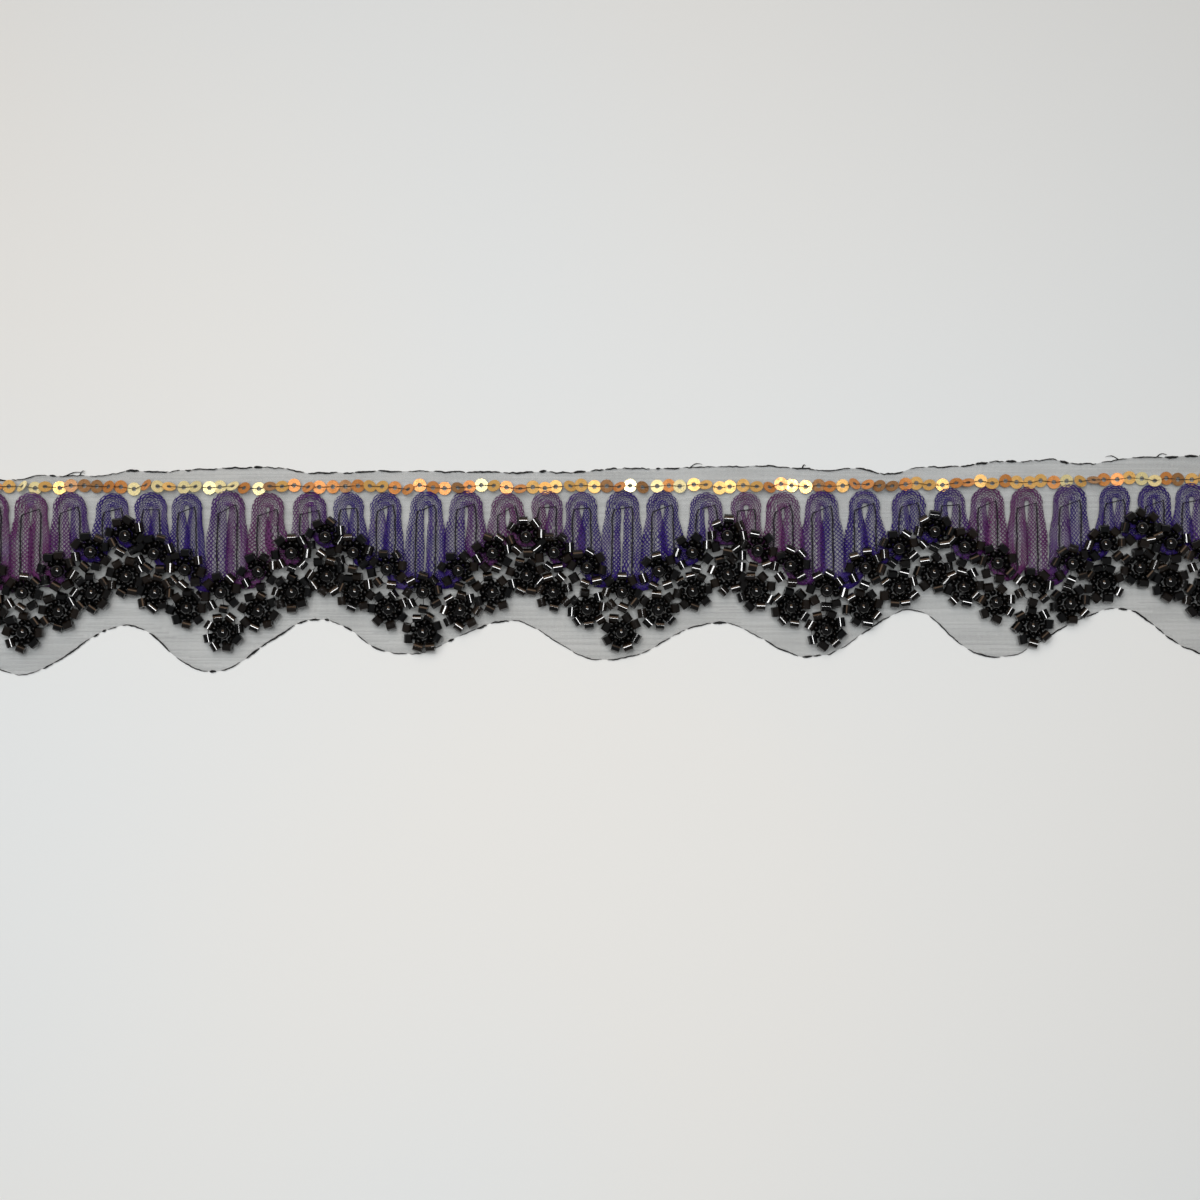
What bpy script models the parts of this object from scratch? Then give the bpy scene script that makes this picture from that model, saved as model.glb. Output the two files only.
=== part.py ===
# Beaded lace trim, lying flat: a sheer scalloped strip that carries a chain of sequins, a looped mesh
# ribbon and a zigzag of bead flowers. The origin is under the middle of the strip, at the surface
# that it lies on. +X runs along the trim and +Y points to its straight heading edge.

import math
import random
from collections import namedtuple

import bmesh
import bpy

MM = 0.001
GAP = 0.3 * MM  # between neighbouring pieces

# The strip of sheer cloth
STRIP_LENGTH = 314 * MM
CLOTH_THICKNESS = 1.0 * MM
HEM_STEP = 2.4 * MM
HEADING_STEP = 3.6 * MM
CLIMB_POWER = 0.85  # how the hem climbs from a tip to the notch on its right
FALL_POWER = 1.5  # how it falls from a notch to the next tip

# The trim bends slightly towards its heading over its right half.
BEND_RISE = 4.0 * MM
BEND_POWER = 1.5
FLOWER_BEND_SHARE = 0.72

# The sequin chain
SEQUIN_DIAMETER = 3.3 * MM
SEQUIN_PITCH = 3.1 * MM
SEQUIN_THICKNESS = 0.5 * MM
SEQUIN_LINE = 18.4 * MM
SEQUIN_WOBBLE = 0.25 * MM
SEQUIN_SHOULDER = 0.55  # its outline's corners lie this share of its radius to each side

# The mesh ribbon, laid in standing loops
RIBBON_WIDTH = 4.2 * MM
RIBBON_TOP_WIDTH = 3.2 * MM
RIBBON_THICKNESS = 1.0 * MM
ARCH_RADIUS = 2.6 * MM  # of the centreline
ARCH_NARROWING = 0.8
ARCH_STEPS = 6
BOTTOM_NARROWING = 0.95
BOTTOM_STEPS = 4
RIBBON_BELOW_FLOWERS = 2.6 * MM  # its lower turns reach this far below the upper flowers' centres

# The bead flowers: a pearl ringed by seven cut beads
PETALS = 7
SPOKES = 2 * PETALS
PEARL_RADIUS = 1.6 * MM
FLOWER_RADIUS = 5.0 * MM
NOTCH_RADIUS = 4.2 * MM  # between two petals
PETAL_HEIGHT = 2.1 * MM
NOTCH_HEIGHT = 0.65  # as a share of the petals' height
VALLEY_ROW = -7.1 * MM
ROW_SPACING = 9.9 * MM
FLOWER_JITTER = 0.25 * MM
PETAL_JITTER = 0.2 * MM
LINK_OVERLAP = 0.4 * MM
LOWER_SWING = math.radians(4)  # the lower flower is turned this far from facing the upper one
SEED = 7

# The rings that a flower's pearl and petals are drawn through, from the middle outwards. On the pearl
# both numbers are shares of its size; on a petal they are shares of its reach and height.
Ring = namedtuple("Ring", "out up")
PEARL_RINGS = (Ring(0.72, 0.86), Ring(1.1, 0.42))
PETAL_RINGS = (Ring(0.62, 1.0), Ring(1.0, 0.88), Ring(1.0, 0.0))

# Levels above the surface
TRIM_BASE = CLOTH_THICKNESS + GAP
UPPER_FLOWER_BASE = TRIM_BASE + RIBBON_THICKNESS + GAP

# Where each repeat of the zigzag starts, in mm along the trim. The first and last are cut by the ends.
REPEAT_STARTS = (-191.3, -141.8, -92.3, -42.4, 7.0, 57.9, 109.3, 160.6)

# The flower columns of one repeat: their share of its length, and their rise in mm.
Column = namedtuple("Column", "share rise")
COLUMNS = (
    Column(0.0, 0.0),
    Column(0.182, 5.4),
    Column(0.345, 9.9),
    Column(0.516, 13.9),
    Column(0.657, 9.9),
    Column(0.821, 5.9),
)
RIBBON_LOOPS = (0.005, 0.21, 0.424, 0.618, 0.80)  # the ribbon's loops, as shares of a repeat
RIBBON_DRIFT = -0.01  # the loops slip by this share from one repeat to the next

# Places on the strip's two long edges, in mm.
Place = namedtuple("Place", "x y")
HEM = (
    Place(-157.0, -21.4),
    Place(-142.3, -27.3),
    Place(-115.5, -15.1),
    Place(-94.5, -26.8),
    Place(-67.5, -13.6),
    Place(-46.5, -22.6),
    Place(-20.5, -13.9),
    Place(5.0, -23.9),
    Place(31.5, -14.4),
    Place(56.5, -22.9),
    Place(79.8, -11.4),
    Place(101.5, -23.3),
    Place(130.8, -11.0),
    Place(157.0, -22.6),
)
HEADING = (
    Place(-157.0, 21.2),
    Place(-143.8, 21.1),
    Place(-140.0, 22.3),
    Place(-124.5, 22.1),
    Place(-113.0, 23.4),
    Place(-77.0, 24.2),
    Place(-71.3, 22.6),
    Place(-49.8, 23.3),
    Place(-12.0, 22.9),
    Place(9.8, 24.0),
    Place(42.3, 24.5),
    Place(59.5, 23.6),
    Place(65.0, 24.2),
    Place(73.5, 22.6),
    Place(83.0, 24.4),
    Place(113.0, 26.2),
    Place(119.8, 25.2),
    Place(142.3, 26.9),
    Place(157.0, 27.3),
)


def bend(x):
    """How far the trim has bent towards its heading at x."""
    along = max(0.0, x) / (STRIP_LENGTH / 2)
    return BEND_RISE * along**BEND_POWER


def ease(share):
    return (1 - math.cos(math.pi * share)) / 2


def stretch_of(places, x):
    """The two places on either side of x, and x's share of the way between them."""
    at = x / MM
    for left, right in zip(places, places[1:]):
        if at <= right.x:
            break
    return left, right, min(1.0, max(0.0, (at - left.x) / (right.x - left.x)))


def hem_y(x):
    left, right, share = stretch_of(HEM, x)
    if right.y > left.y:
        height = ease(share) ** CLIMB_POWER
        return (left.y + height * (right.y - left.y)) * MM
    height = ease(1 - share) ** FALL_POWER
    return (right.y + height * (left.y - right.y)) * MM


def heading_y(x):
    left, right, share = stretch_of(HEADING, x)
    return (left.y + ease(share) * (right.y - left.y)) * MM


def sequin_y(x):
    return SEQUIN_LINE + bend(x)


def spread(start, end, step):
    """Evenly spaced numbers from start to end, about step apart."""
    count = max(1, round(abs(end - start) / step))
    return [start + (end - start) * i / count for i in range(count + 1)]


def in_each_repeat(shares, drift=0.0):
    """One row for each repeat: where these shares of it lie along the trim."""
    middle = len(REPEAT_STARTS) // 2 - 1
    rows = []
    for i, (start, end) in enumerate(zip(REPEAT_STARTS, REPEAT_STARTS[1:])):
        slip = drift * (i - middle)
        rows.append([(start + (share + slip) * (end - start)) * MM for share in shares])
    return rows


def flower_centres():
    """The (upper, lower) flower centres of every whole column, from left to right."""
    chance = random.Random(SEED)
    columns = []
    for repeat in in_each_repeat([column.share for column in COLUMNS]):
        for x, column in zip(repeat, COLUMNS):
            if abs(x) + FLOWER_RADIUS > STRIP_LENGTH / 2:
                continue
            y = VALLEY_ROW + column.rise * MM + FLOWER_BEND_SHARE * bend(x)
            pair = []
            for row in (y, y - ROW_SPACING):
                jitter = [chance.uniform(-FLOWER_JITTER, FLOWER_JITTER) for _ in range(2)]
                pair.append((x + jitter[0], row + jitter[1]))
            columns.append(tuple(pair))
    return columns


def upper_row_y(x, columns):
    """The height of the zigzag of upper flowers at x."""
    uppers = [pair[0] for pair in columns]
    if x <= uppers[0][0]:
        return uppers[0][1]
    for (x0, y0), (x1, y1) in zip(uppers, uppers[1:]):
        if x <= x1:
            return y0 + (y1 - y0) * (x - x0) / (x1 - x0)
    return uppers[-1][1]


def make_material(name, colour, roughness, metallic=0.0):
    material = bpy.data.materials.new(name)
    material.use_nodes = True
    shader = material.node_tree.nodes["Principled BSDF"]
    shader.inputs["Base Color"].default_value = (*colour, 1)
    shader.inputs["Roughness"].default_value = roughness
    shader.inputs["Metallic"].default_value = metallic
    return material


def flat_piece(name, outline, base, thickness, material, collection):
    """A closed outline in the plane, filled and given its thickness."""
    curve = bpy.data.curves.new(name, "CURVE")
    curve.dimensions = "2D"
    curve.fill_mode = "BOTH"
    curve.extrude = thickness / 2
    spline = curve.splines.new("POLY")
    spline.points.add(len(outline) - 1)
    for point, (x, y) in zip(spline.points, outline):
        point.co = (x, y, 0, 1)
    spline.use_cyclic_u = True
    piece = bpy.data.objects.new(name, curve)
    piece.location.z = base + thickness / 2
    curve.materials.append(material)
    collection.objects.link(piece)
    return piece


def build_cloth(collection):
    half = STRIP_LENGTH / 2
    outline = [(x, hem_y(x)) for x in spread(-half, half, HEM_STEP)]
    outline += [(x, heading_y(x)) for x in spread(half, -half, HEADING_STEP)]
    sheer = make_material("sheer_cloth", (0.23, 0.24, 0.24), 0.8)
    flat_piece("sheer_cloth", outline, 0, CLOTH_THICKNESS, sheer, collection)


def build_sequins(collection):
    """The overlapping sequins as one flat chain: two shoulders and a notch for each."""
    chance = random.Random(SEED)
    radius = SEQUIN_DIAMETER / 2
    shoulder = SEQUIN_SHOULDER * radius
    shoulder_rise = math.sqrt(radius**2 - shoulder**2)
    notch_rise = math.sqrt(radius**2 - (SEQUIN_PITCH / 2) ** 2)
    count = int((STRIP_LENGTH - SEQUIN_DIAMETER) / SEQUIN_PITCH)
    first = -(count - 1) * SEQUIN_PITCH / 2
    centres = []
    for i in range(count):
        x = first + i * SEQUIN_PITCH
        centres.append((x, sequin_y(x) + chance.uniform(-SEQUIN_WOBBLE, SEQUIN_WOBBLE)))
    upper, lower = [], []
    for i, (x, y) in enumerate(centres):
        for side in (-1, 1):
            upper.append((x + side * shoulder, y + shoulder_rise))
            lower.append((x + side * shoulder, y - shoulder_rise))
        if i + 1 < count:
            middle = (y + centres[i + 1][1]) / 2
            upper.append((x + SEQUIN_PITCH / 2, middle + notch_rise))
            lower.append((x + SEQUIN_PITCH / 2, middle - notch_rise))
    gold = make_material("gold_sequin", (0.80, 0.42, 0.16), 0.25, 1.0)
    outline = lower + upper[::-1]
    flat_piece("sequin_chain", outline, TRIM_BASE, SEQUIN_THICKNESS, gold, collection)


def turn(centre, radius, start, end, steps):
    """Points round part of a circle, without its two ends."""
    points = []
    for i in range(1, steps):
        angle = start + (end - start) * i / steps
        points.append((centre[0] + radius * math.cos(angle), centre[1] + radius * math.sin(angle)))
    return points


def ribbon_route(columns):
    """The ribbon's centreline as (x, y, width factor): up a leg, over the arch, down and round again."""
    half = STRIP_LENGTH / 2
    loops = [x for repeat in in_each_repeat(RIBBON_LOOPS, RIBBON_DRIFT) for x in repeat]
    loops.append(2 * loops[-1] - loops[-2])  # a neighbour for the last loop in the strip
    pitch = {}
    for left, x, right in zip(loops, loops[1:], loops[2:]):
        pitch[x] = (right - left) / 2
    loops = [x for x in pitch if abs(x) + RIBBON_WIDTH < half]
    legs = []
    for x in loops:
        legs += [x - pitch[x] / 4, x + pitch[x] / 4]
    arch_reach = ARCH_RADIUS + ARCH_NARROWING * RIBBON_WIDTH / 2
    route = []
    for i, x in enumerate(loops):
        left, right = legs[2 * i], legs[2 * i + 1]
        top = sequin_y(x) - SEQUIN_DIAMETER / 2 - SEQUIN_WOBBLE - GAP - arch_reach
        before = legs[2 * i - 1] if i else left
        after = legs[2 * i + 2] if i + 1 < len(loops) else right
        for leg, other, going_up in ((left, before, True), (right, after, False)):
            middle = (leg + other) / 2
            floor = upper_row_y(middle, columns) - RIBBON_BELOW_FLOWERS
            foot = floor + abs(other - leg) / 2 + RIBBON_WIDTH / 2
            ends = [(leg, foot, 1.0), (leg, top - ARCH_RADIUS, 1.0)]
            route += ends if going_up else ends[::-1]
            if going_up:
                arch = turn((x, top), ARCH_RADIUS, math.pi, 0, ARCH_STEPS)
                arch = [(x - ARCH_RADIUS, top), *arch, (x + ARCH_RADIUS, top)]
                route += [(*point, ARCH_NARROWING) for point in arch]
            elif i + 1 < len(loops):
                radius = (other - leg) / 2
                lower = turn((middle, foot), radius, math.pi, 2 * math.pi, BOTTOM_STEPS)
                route += [(*point, BOTTOM_NARROWING) for point in lower]
    return route


def build_ribbon(columns, collection):
    """A flat section swept along the ribbon's route."""
    profile = bpy.data.curves.new("ribbon_section", "CURVE")
    profile.dimensions = "2D"
    section = profile.splines.new("POLY")
    corners = (
        (-RIBBON_TOP_WIDTH / 2, RIBBON_THICKNESS),
        (RIBBON_TOP_WIDTH / 2, RIBBON_THICKNESS),
        (RIBBON_WIDTH / 2, 0),
        (-RIBBON_WIDTH / 2, 0),
    )
    section.points.add(len(corners) - 1)
    for point, (x, y) in zip(section.points, corners):
        point.co = (x, y, 0, 1)
    section.use_cyclic_u = True
    guide = bpy.data.objects.new("ribbon_section", profile)
    guide.hide_render = True
    guide.display_type = "WIRE"
    bpy.data.collections["guides"].objects.link(guide)

    curve = bpy.data.curves.new("mesh_ribbon", "CURVE")
    curve.dimensions = "3D"
    curve.twist_mode = "Z_UP"
    curve.bevel_mode = "OBJECT"
    curve.bevel_object = guide
    curve.use_fill_caps = True
    route = ribbon_route(columns)
    spline = curve.splines.new("POLY")
    spline.points.add(len(route) - 1)
    for point, (x, y, width) in zip(spline.points, route):
        point.co = (x, y, 0, 1)
        point.radius = width
    curve.materials.append(make_material("mesh_ribbon", (0.10, 0.06, 0.28), 0.7))
    ribbon = bpy.data.objects.new("mesh_ribbon", curve)
    ribbon.location.z = TRIM_BASE
    collection.objects.link(ribbon)


def spoke_reach(angle, centre, partner, others, wanted):
    """How far a flower reaches along a spoke: up to its neighbours, and a little into its partner."""
    reach = wanted
    for other, room in [(partner, -LINK_OVERLAP), *((o, GAP / 2) for o in others)]:
        dx, dy = other[0] - centre[0], other[1] - centre[1]
        distance = math.hypot(dx, dy)
        facing = (dx * math.cos(angle) + dy * math.sin(angle)) / distance
        if facing > 0:
            reach = min(reach, (distance / 2 - room) / facing)
    return reach


def flower(name, centre, partner, others, base, swing, chance):
    """One bead flower, lofted from its pearl's top over its petals to its flat base."""
    toward = math.atan2(partner[1] - centre[1], partner[0] - centre[0]) + swing
    link = (math.dist(centre, partner) / 2 + LINK_OVERLAP) / math.cos(swing)
    spokes = []
    for k in range(SPOKES):
        angle = toward + 2 * math.pi * k / SPOKES
        petal = k % 2 == 0
        wanted = FLOWER_RADIUS if petal else NOTCH_RADIUS
        wanted = link if k == 0 else wanted + chance.uniform(-PETAL_JITTER, PETAL_JITTER)
        reach = spoke_reach(angle, centre, partner, others, wanted)
        top = PETAL_HEIGHT if petal else NOTCH_HEIGHT * PETAL_HEIGHT
        places = [(ring.out * PEARL_RADIUS, ring.up * 2 * PEARL_RADIUS) for ring in PEARL_RINGS]
        places += [(ring.out * reach, ring.up * top) for ring in PETAL_RINGS]
        spoke = []
        for out, up in places:
            x = centre[0] + out * math.cos(angle)
            y = centre[1] + out * math.sin(angle)
            spoke.append((x, y, base + up))
        spokes.append(spoke)
    shape = bmesh.new()
    rings = [[shape.verts.new(point) for point in ring] for ring in zip(*spokes)]
    apex = shape.verts.new((*centre, base + 2 * PEARL_RADIUS))
    for k in range(SPOKES):
        after = (k + 1) % SPOKES
        shape.faces.new((apex, rings[0][k], rings[0][after]))
        for inner, outer in zip(rings, rings[1:]):
            shape.faces.new((inner[k], outer[k], outer[after], inner[after]))
    shape.faces.new(rings[-1][::-1])
    bmesh.ops.recalc_face_normals(shape, faces=shape.faces)
    mesh = bpy.data.meshes.new(name)
    shape.to_mesh(mesh)
    shape.free()
    return bpy.data.objects.new(name, mesh)


def build_flowers(columns, collection):
    """Each column's two flowers, joined where their petals meet."""
    chance = random.Random(SEED)
    black = make_material("black_bead", (0.012, 0.012, 0.013), 0.15)
    everything = [centre for pair in columns for centre in pair]
    for i, (upper, lower) in enumerate(columns):
        others = [centre for centre in everything if centre not in (upper, lower)]
        name = f"flower_pair_{i + 1:02d}"
        pair = flower(name, upper, lower, others, UPPER_FLOWER_BASE, 0, chance)
        joined = flower(name + "_lower", lower, upper, others, TRIM_BASE, LOWER_SWING, chance)
        joined.hide_render = True
        joined.display_type = "WIRE"
        bpy.data.collections["guides"].objects.link(joined)
        collection.objects.link(pair)
        union = pair.modifiers.new("join lower flower", "BOOLEAN")
        union.operation = "UNION"
        union.object = joined
        pair.data.materials.append(black)


def main():
    for leftover in list(bpy.data.objects):
        bpy.data.objects.remove(leftover)
    collection = bpy.data.collections.new("beaded_lace_trim")
    guides = bpy.data.collections.new("guides")
    for made in (collection, guides):
        bpy.context.scene.collection.children.link(made)
    columns = flower_centres()
    build_cloth(collection)
    build_sequins(collection)
    build_ribbon(columns, collection)
    build_flowers(columns, collection)


main()
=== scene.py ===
# Beaded lace trim, lying flat on a pale table.
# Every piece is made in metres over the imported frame: +X along the trim, +Y to its straight
# heading, +Z up. Change the dictionaries to change the trim.

import math
import random

import bpy
import numpy as np
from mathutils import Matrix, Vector, noise


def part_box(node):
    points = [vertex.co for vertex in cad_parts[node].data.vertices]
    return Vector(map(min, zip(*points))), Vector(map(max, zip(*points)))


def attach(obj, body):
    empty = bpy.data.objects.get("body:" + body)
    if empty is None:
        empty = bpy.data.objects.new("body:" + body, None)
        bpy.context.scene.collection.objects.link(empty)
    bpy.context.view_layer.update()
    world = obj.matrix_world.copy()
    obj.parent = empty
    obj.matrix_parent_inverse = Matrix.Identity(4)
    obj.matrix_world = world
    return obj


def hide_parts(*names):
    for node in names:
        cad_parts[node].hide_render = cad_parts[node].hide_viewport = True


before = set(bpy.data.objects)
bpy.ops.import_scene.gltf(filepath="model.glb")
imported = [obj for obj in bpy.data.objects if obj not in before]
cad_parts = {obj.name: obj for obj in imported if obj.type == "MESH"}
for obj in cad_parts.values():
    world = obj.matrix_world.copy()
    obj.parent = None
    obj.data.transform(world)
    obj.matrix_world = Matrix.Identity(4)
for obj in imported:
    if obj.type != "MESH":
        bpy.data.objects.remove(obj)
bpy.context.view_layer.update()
mm = 0.001
print("frame loaded:", len(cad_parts), "nodes")


# Material helpers

def startMaterial(name, roughness, metallic=0.0, specular=0.5):
    material = bpy.data.materials.new(name)
    material.use_nodes = True
    shader = material.node_tree.nodes["Principled BSDF"]
    shader.inputs["Roughness"].default_value = roughness
    shader.inputs["Metallic"].default_value = metallic
    shader.inputs["Specular IOR Level"].default_value = specular
    return material, material.node_tree, shader


def addNode(tree, kind, **settings):
    node = tree.nodes.new(kind)
    for key, value in settings.items():
        setattr(node, key, value)
    return node


def connect(tree, source, target):
    # the source is a socket, or a plain value for the target
    if isinstance(source, (int, float, tuple)):
        target.default_value = source
    else:
        tree.links.new(source, target)


def doMath(tree, operation, first, second=0.0):
    node = addNode(tree, "ShaderNodeMath", operation=operation)
    connect(tree, first, node.inputs[0])
    connect(tree, second, node.inputs[1])
    return node.outputs[0]


def mixColour(tree, share, first, second):
    # the node also mixes numbers and vectors; its colours are inputs 6 and 7 and output 2
    node = addNode(tree, "ShaderNodeMix", data_type="RGBA")
    connect(tree, share, node.inputs["Factor"])
    for index, value in ((6, first), (7, second)):
        colour = (*value, 1) if isinstance(value, tuple) else value
        connect(tree, colour, node.inputs[index])
    return node.outputs[2]


def spread(tree, value, low, high, toLow=0.0, toHigh=1.0):
    node = addNode(tree, "ShaderNodeMapRange")
    connect(tree, value, node.inputs["Value"])
    for label, number in (("From Min", low), ("From Max", high)):
        node.inputs[label].default_value = number
    for label, number in (("To Min", toLow), ("To Max", toHigh)):
        connect(tree, number, node.inputs[label])
    return node.outputs["Result"]


def objectPlace(tree):
    return addNode(tree, "ShaderNodeTexCoord").outputs["Object"]


def placeAxes(tree):
    node = addNode(tree, "ShaderNodeSeparateXYZ")
    tree.links.new(objectPlace(tree), node.inputs[0])
    return node.outputs


def noiseAt(tree, vector, scale, detail):
    node = addNode(tree, "ShaderNodeTexNoise")
    tree.links.new(vector, node.inputs["Vector"])
    node.inputs["Scale"].default_value = scale
    node.inputs["Detail"].default_value = detail
    return node.outputs["Fac"]


def attributeOf(tree, name):
    return addNode(tree, "ShaderNodeAttribute", attribute_name=name).outputs["Fac"]


def addBump(tree, shader, height, strength, distance):
    node = addNode(tree, "ShaderNodeBump")
    node.inputs["Strength"].default_value = strength
    node.inputs["Distance"].default_value = distance
    tree.links.new(height, node.inputs["Height"])
    tree.links.new(node.outputs["Normal"], shader.inputs["Normal"])


# Camera and light

view = {
    "middle": (1.5 * mm, -8.9 * mm),  # the place on the table under the lens
    "span": 300 * mm,  # how much of the trim the picture holds
    "height": 450 * mm,
}

studio = {
    "roomColour": (0.93, 0.96, 1.0),
    "roomStrength": 0.07,
    "backdropStrength": 0.70,  # what the lens sees past the table
    "softbox": {"at": (-0.17, 0.20, 0.88), "size": 0.80, "power": 8.0},
    "lamps": [(-0.07, 0.10), (0.10, 0.045)],  # small, near the lens
    "lampHeight": 0.50,
    "lampSize": 0.075,
    "lampPower": 0.42,
    "warmPanel": {"at": (-0.02, 0.33, 0.42), "size": 0.30, "power": 0.25},
    "warmColour": (1.0, 0.66, 0.42),
}


def aimAt(thing, target):
    direction = Vector(target) - thing.location
    thing.rotation_euler = direction.to_track_quat("-Z", "Y").to_euler()


def addAreaLight(name, at, size, power, colour=(1, 1, 1)):
    data = bpy.data.lights.new(name, "AREA")
    data.size = size
    data.energy = power
    data.color = colour
    light = bpy.data.objects.new(name, data)
    light.location = at
    bpy.context.scene.collection.objects.link(light)
    aimAt(light, (0, 0, 0))
    return light


def setUpView():
    data = bpy.data.cameras.new("overhead")
    data.angle = 2 * math.atan(view["span"] / 2 / view["height"])
    data.clip_start = 0.01
    camera = bpy.data.objects.new("overhead", data)
    camera.location = (*view["middle"], view["height"])
    bpy.context.scene.collection.objects.link(camera)
    bpy.context.scene.camera = camera


def setUpLight():
    world = bpy.data.worlds.new("paleRoom")
    world.use_nodes = True
    room = world.node_tree.nodes["Background"]
    room.inputs["Color"].default_value = (*studio["roomColour"], 1)
    tree = world.node_tree
    seen = addNode(tree, "ShaderNodeLightPath").outputs["Is Camera Ray"]
    strength = spread(tree, seen, 0, 1, studio["roomStrength"], studio["backdropStrength"])
    tree.links.new(strength, room.inputs["Strength"])
    bpy.context.scene.world = world
    bpy.context.scene.view_settings.view_transform = "Standard"
    soft = studio["softbox"]
    softbox = addAreaLight("softbox", soft["at"], soft["size"], soft["power"])
    softbox.visible_glossy = False
    for i, (x, y) in enumerate(studio["lamps"]):
        at = (x, y, studio["lampHeight"])
        addAreaLight(f"lamp{i + 1}", at, studio["lampSize"], studio["lampPower"])
    warm = studio["warmPanel"]
    addAreaLight("warmPanel", warm["at"], warm["size"], warm["power"], studio["warmColour"])


setUpView()
setUpLight()
print("camera and lights set")


# Geometry helpers

def linkPiece(name, mesh):
    piece = bpy.data.objects.new(name, mesh)
    bpy.context.scene.collection.objects.link(piece)
    return piece


def meshOfPoints(name, points, edges=(), numbers=None, vectors=None):
    # points or lines that carry named numbers and vectors for a node tree
    mesh = bpy.data.meshes.new(name)
    mesh.from_pydata([tuple(p) for p in points], list(edges), [])
    for key, values in (numbers or {}).items():
        mesh.attributes.new(key, "FLOAT", "POINT").data.foreach_set("value", list(values))
    for key, values in (vectors or {}).items():
        flat = [number for value in values for number in value]
        mesh.attributes.new(key, "FLOAT_VECTOR", "POINT").data.foreach_set("vector", flat)
    return linkPiece(name, mesh)


def joinLines(lines):
    # several lines as one list of points and edges
    points, edges = [], []
    for line in lines:
        start = len(points)
        points += line
        edges += [(start + i, start + i + 1) for i in range(len(line) - 1)]
    return points, edges


def startTree(name, inputs):
    tree = bpy.data.node_groups.new(name, "GeometryNodeTree")
    face = tree.interface
    face.new_socket("Geometry", in_out="INPUT", socket_type="NodeSocketGeometry")
    for label, kind, value in inputs:
        socket = face.new_socket(label, in_out="INPUT", socket_type=f"NodeSocket{kind}")
        if value is not None:
            socket.default_value = value
    face.new_socket("Geometry", in_out="OUTPUT", socket_type="NodeSocketGeometry")
    return tree, addNode(tree, "NodeGroupInput").outputs


def namedAttribute(tree, name, kind="FLOAT"):
    node = addNode(tree, "GeometryNodeInputNamedAttribute", data_type=kind)
    node.inputs["Name"].default_value = name
    return node.outputs["Attribute"]


def storeNumber(tree, geometry, name, value):
    node = addNode(tree, "GeometryNodeStoreNamedAttribute", data_type="FLOAT", domain="POINT")
    node.inputs["Name"].default_value = name
    connect(tree, geometry, node.inputs["Geometry"])
    connect(tree, value, node.inputs["Value"])
    return node.outputs["Geometry"]


def finishTree(tree, geometry, material):
    # realised, shaded smooth, and in its material
    real = addNode(tree, "GeometryNodeRealizeInstances")
    tree.links.new(geometry, real.inputs["Geometry"])
    shade = addNode(tree, "GeometryNodeSetShadeSmooth")
    tree.links.new(real.outputs["Geometry"], shade.inputs["Geometry"])
    paint = addNode(tree, "GeometryNodeSetMaterial")
    tree.links.new(shade.outputs["Geometry"], paint.inputs["Geometry"])
    tree.links.new(material, paint.inputs["Material"])
    out = addNode(tree, "NodeGroupOutput")
    tree.links.new(paint.outputs["Geometry"], out.inputs["Geometry"])


def grow(name, source, tree, settings, sharpAngle=None):
    # runs a tree on its points and keeps the outcome as a plain mesh
    modifier = source.modifiers.new("grow", "NODES")
    modifier.node_group = tree
    for item in tree.interface.items_tree:
        if item.in_out == "INPUT" and item.name in settings:
            modifier[item.identifier] = settings[item.name]
    depsgraph = bpy.context.evaluated_depsgraph_get()
    mesh = bpy.data.meshes.new_from_object(source.evaluated_get(depsgraph))
    bpy.data.objects.remove(source)
    mesh.name = name
    if sharpAngle:
        mesh.set_sharp_from_angle(angle=sharpAngle)
    print(f"{name}: {len(mesh.polygons)} faces")
    return linkPiece(name, mesh)


def setOnPoints(tree, given, shape):
    # one copy of the shape on every point, turned and sized by the point's own attributes
    onPoints = addNode(tree, "GeometryNodeInstanceOnPoints")
    connect(tree, given["Geometry"], onPoints.inputs["Points"])
    connect(tree, shape, onPoints.inputs["Instance"])
    connect(tree, namedAttribute(tree, "turn", "FLOAT_VECTOR"), onPoints.inputs["Rotation"])
    connect(tree, namedAttribute(tree, "size"), onPoints.inputs["Scale"])
    finishTree(tree, onPoints.outputs["Instances"], given["Material"])


def ringOnPoints():
    # Rings with a squared section: cut beads and sequins are both such rings.
    tree, given = startTree("ringOnPoints", [
        ("Radius", "Float", 1 * mm),
        ("Hole", "Float", 0.4 * mm),
        ("Thickness", "Float", 1 * mm),
        ("Sides", "Int", 8),
        ("Material", "Material", None),
    ])
    middle = doMath(tree, "MULTIPLY", doMath(tree, "ADD", given["Radius"], given["Hole"]), 0.5)
    wall = doMath(tree, "SUBTRACT", given["Radius"], given["Hole"])
    path = addNode(tree, "GeometryNodeCurvePrimitiveCircle")
    connect(tree, given["Sides"], path.inputs["Resolution"])
    connect(tree, middle, path.inputs["Radius"])
    section = addNode(tree, "GeometryNodeCurvePrimitiveQuadrilateral")
    connect(tree, wall, section.inputs["Width"])
    connect(tree, given["Thickness"], section.inputs["Height"])
    ring = addNode(tree, "GeometryNodeCurveToMesh")
    connect(tree, path.outputs["Curve"], ring.inputs["Curve"])
    connect(tree, section.outputs["Curve"], ring.inputs["Profile Curve"])
    setOnPoints(tree, given, ring.outputs["Mesh"])
    return tree


def ballOnPoints():
    # Round beads: the pearls and the small beads
    tree, given = startTree("ballOnPoints", [
        ("Radius", "Float", 1 * mm),
        ("Segments", "Int", 20),
        ("Rings", "Int", 12),
        ("Material", "Material", None),
    ])
    ball = addNode(tree, "GeometryNodeMeshUVSphere")
    connect(tree, given["Segments"], ball.inputs["Segments"])
    connect(tree, given["Rings"], ball.inputs["Rings"])
    connect(tree, given["Radius"], ball.inputs["Radius"])
    setOnPoints(tree, given, ball.outputs["Mesh"])
    return tree


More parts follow.
